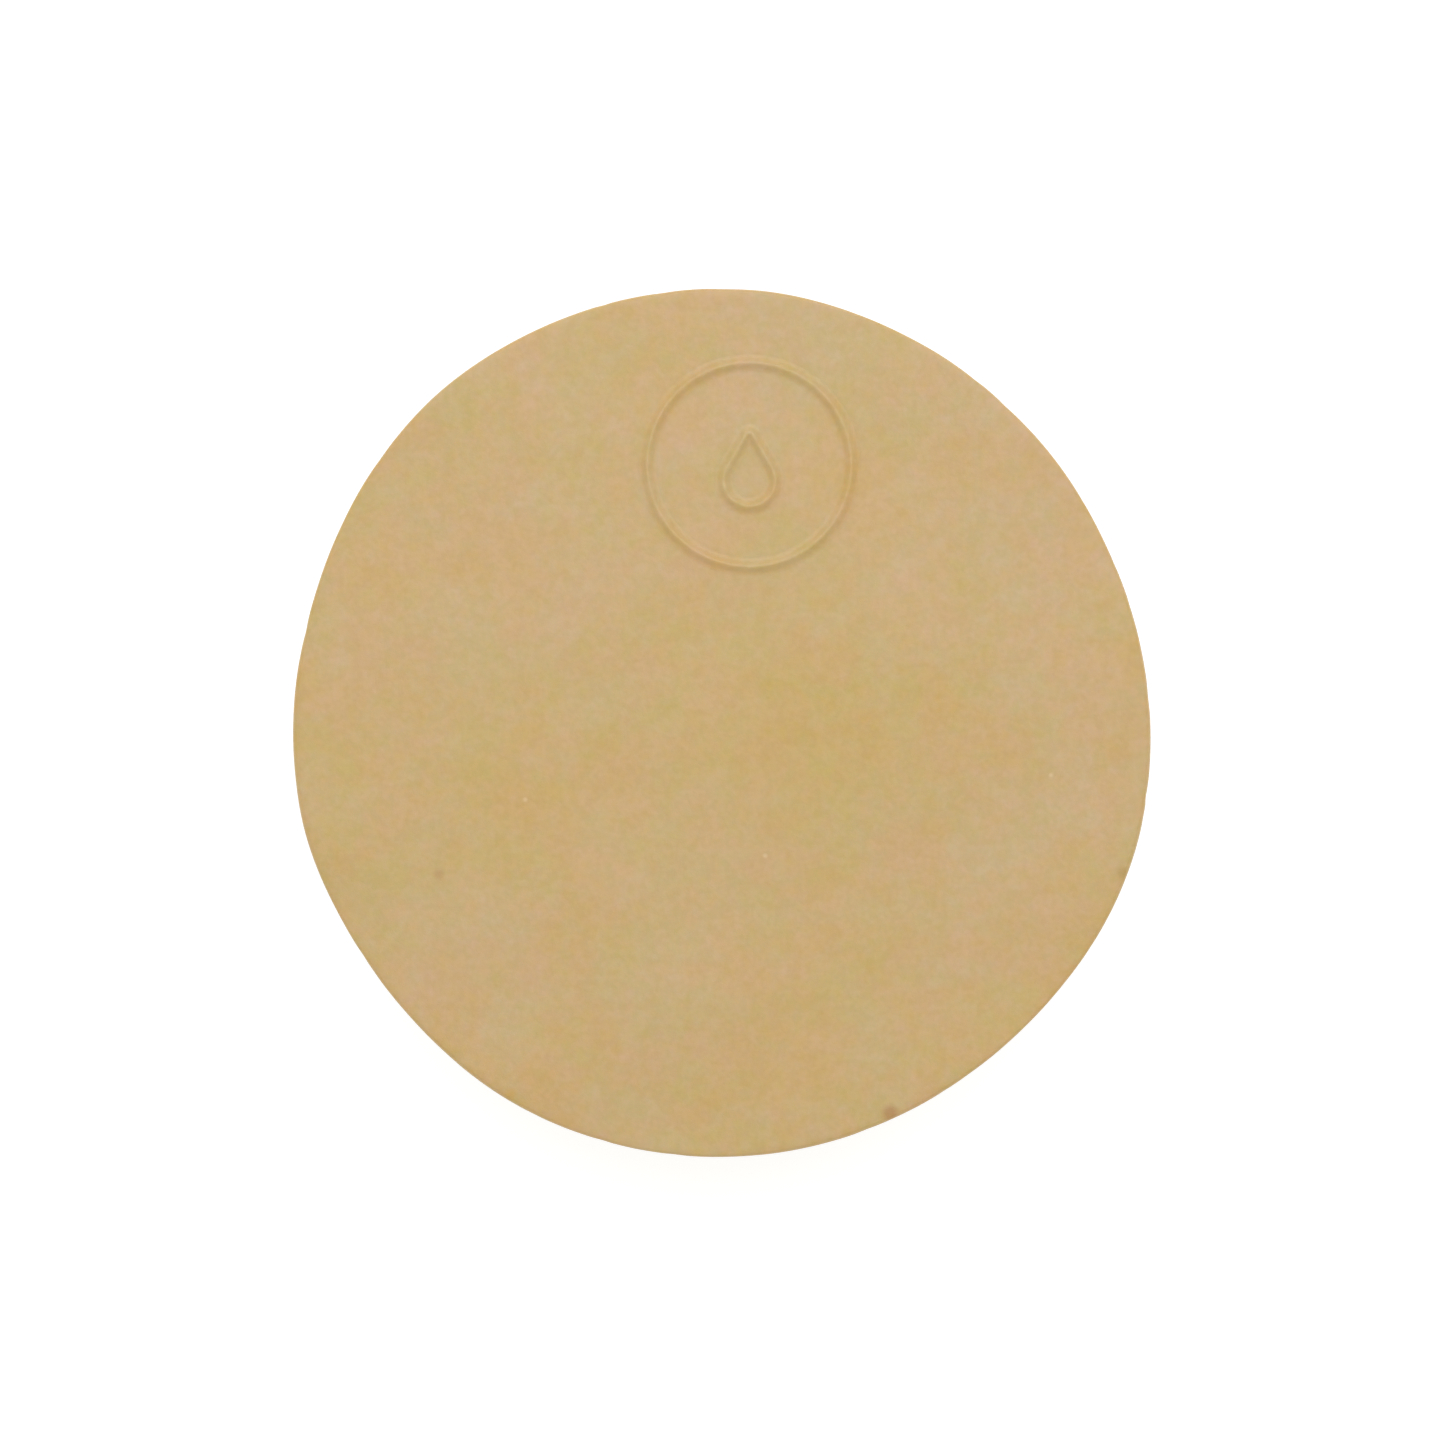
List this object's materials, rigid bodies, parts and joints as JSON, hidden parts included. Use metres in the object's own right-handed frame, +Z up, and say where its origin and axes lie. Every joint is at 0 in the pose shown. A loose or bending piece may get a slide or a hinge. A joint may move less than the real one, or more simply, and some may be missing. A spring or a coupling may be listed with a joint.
{
  "type": "shaving soap puck",
  "caption": "Round puck of hard shaving soap with a thin-line mark raised on its face, for lathering with a brush in a mug or bowl.",
  "frame": {"origin": "centre of the flat underside, where the puck rests", "axes": "+Z up through the puck to its marked face, +Y the way that the drop's tip points, which is also the side that the mark is on, +X to the right when the mark is read upright"},
  "size_m": [0.06, 0.06, 0.0202],
  "materials": {
    "soap": "hard tan shaving soap: matt, slightly waxy, faintly mottled and pitted"
  },
  "bodies": {
    "root": {"soap_body": "soap", "mark_ring": "soap", "mark_drop": "soap"}
  },
  "joints": []
}
